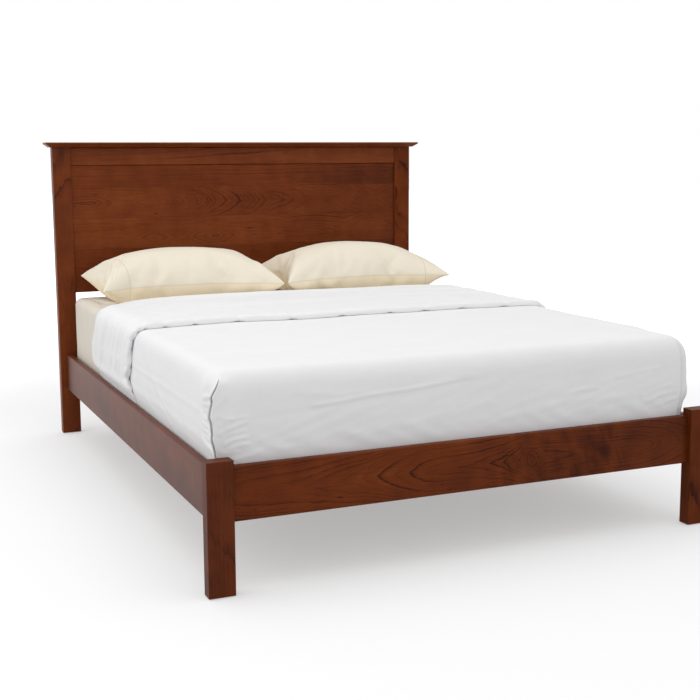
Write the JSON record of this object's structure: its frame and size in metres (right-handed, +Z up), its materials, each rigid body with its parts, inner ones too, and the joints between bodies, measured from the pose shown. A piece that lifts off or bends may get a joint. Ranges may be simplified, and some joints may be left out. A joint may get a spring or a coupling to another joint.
{
  "type": "panel bed",
  "caption": "Low-foot panel bed: framed headboard with bevelled cap, hook-on side rails, slatted base with centre legs, mattress, cover and pillows.",
  "frame": {"origin": "on the floor, under the middle of the bed's footprint", "axes": "+X to the right seen from the foot, +Y from the foot to the head, +Z up"},
  "size_m": [1.71, 2.171, 1.232],
  "materials": {
    "stained_cherry": "satin lacquer over reddish-brown stain",
    "plain_hardwood": "sanded, unfinished",
    "beech_dowel": "unfinished",
    "plated_steel": "zinc plated",
    "screw_steel": "zinc plated",
    "nylon": "moulded",
    "ticking": "woven ticking",
    "cream_cotton": "cream percale",
    "white_cotton": "white percale",
    "pillow_ticking": "woven ticking"
  },
  "bodies": {
    "frame": {"head_post_left": "stained_cherry", "foot_post_left": "stained_cherry", "side_rail_left": "stained_cherry", "cleat_left": "plain_hardwood", "hook_plate_head_left": "plated_steel", "slot_plate_head_left": "plated_steel", "hook_plate_foot_left": "plated_steel", "slot_plate_foot_left": "plated_steel", "head_post_right": "stained_cherry", "foot_post_right": "stained_cherry", "side_rail_right": "stained_cherry", "cleat_right": "plain_hardwood", "hook_plate_head_right": "plated_steel", "slot_plate_head_right": "plated_steel", "hook_plate_foot_right": "plated_steel", "slot_plate_foot_right": "plated_steel", "headboard_top_rail": "stained_cherry", "headboard_panel": "stained_cherry", "headboard_lower_rail": "stained_cherry", "headboard_cap": "stained_cherry", "cap_dowels": "beech_dowel", "foot_rail": "stained_cherry", "post_glides": "nylon", "slot_plate_screws": "screw_steel", "hook_plate_screws": "screw_steel", "cleat_screws": "screw_steel", "slat_screws": "screw_steel", "slat_01": "plain_hardwood", "slat_02": "plain_hardwood", "slat_03": "plain_hardwood", "slat_04": "plain_hardwood", "slat_05": "plain_hardwood", "slat_06": "plain_hardwood", "slat_07": "plain_hardwood", "slat_08": "plain_hardwood", "slat_09": "plain_hardwood", "slat_10": "plain_hardwood", "slat_11": "plain_hardwood", "slat_12": "plain_hardwood", "slat_13": "plain_hardwood", "centre_beam": "plain_hardwood", "beam_saddle_head": "plain_hardwood", "beam_saddle_foot": "plain_hardwood", "saddle_screws": "screw_steel", "leg_hanger_bolts": "plated_steel", "centre_leg_1": "plain_hardwood", "centre_leg_2": "plain_hardwood", "leg_insert_1": "plated_steel", "leg_insert_2": "plated_steel"},
    "bedding": {"mattress": "ticking", "fitted_sheet": "cream_cotton", "cover": "white_cotton"},
    "left_pillow": {"pillow_left": "pillow_ticking", "pillowcase_left": "cream_cotton"},
    "right_pillow": {"pillow_right": "pillow_ticking", "pillowcase_right": "cream_cotton"},
    "glide_1": {"levelling_glide_1": "plated_steel"},
    "glide_2": {"levelling_glide_2": "plated_steel"}
  },
  "joints": [
    {"name": "bedding_lift", "type": "slide", "parent": "frame", "child": "bedding", "axis": [0, 0, 1], "range_m": [0, 0.2]},
    {"name": "left_pillow_lift", "type": "slide", "parent": "bedding", "child": "left_pillow", "axis": [0, 0, 1], "range_m": [0, 0.25]},
    {"name": "right_pillow_lift", "type": "slide", "parent": "bedding", "child": "right_pillow", "axis": [0, 0, 1], "range_m": [0, 0.25]},
    {"name": "glide_1_travel", "type": "slide", "parent": "frame", "child": "glide_1", "axis": [0, 0, 1], "range_m": [-0.008, 0.0095]},
    {"name": "glide_2_travel", "type": "slide", "parent": "frame", "child": "glide_2", "axis": [0, 0, 1], "range_m": [-0.008, 0.0095]}
  ]
}
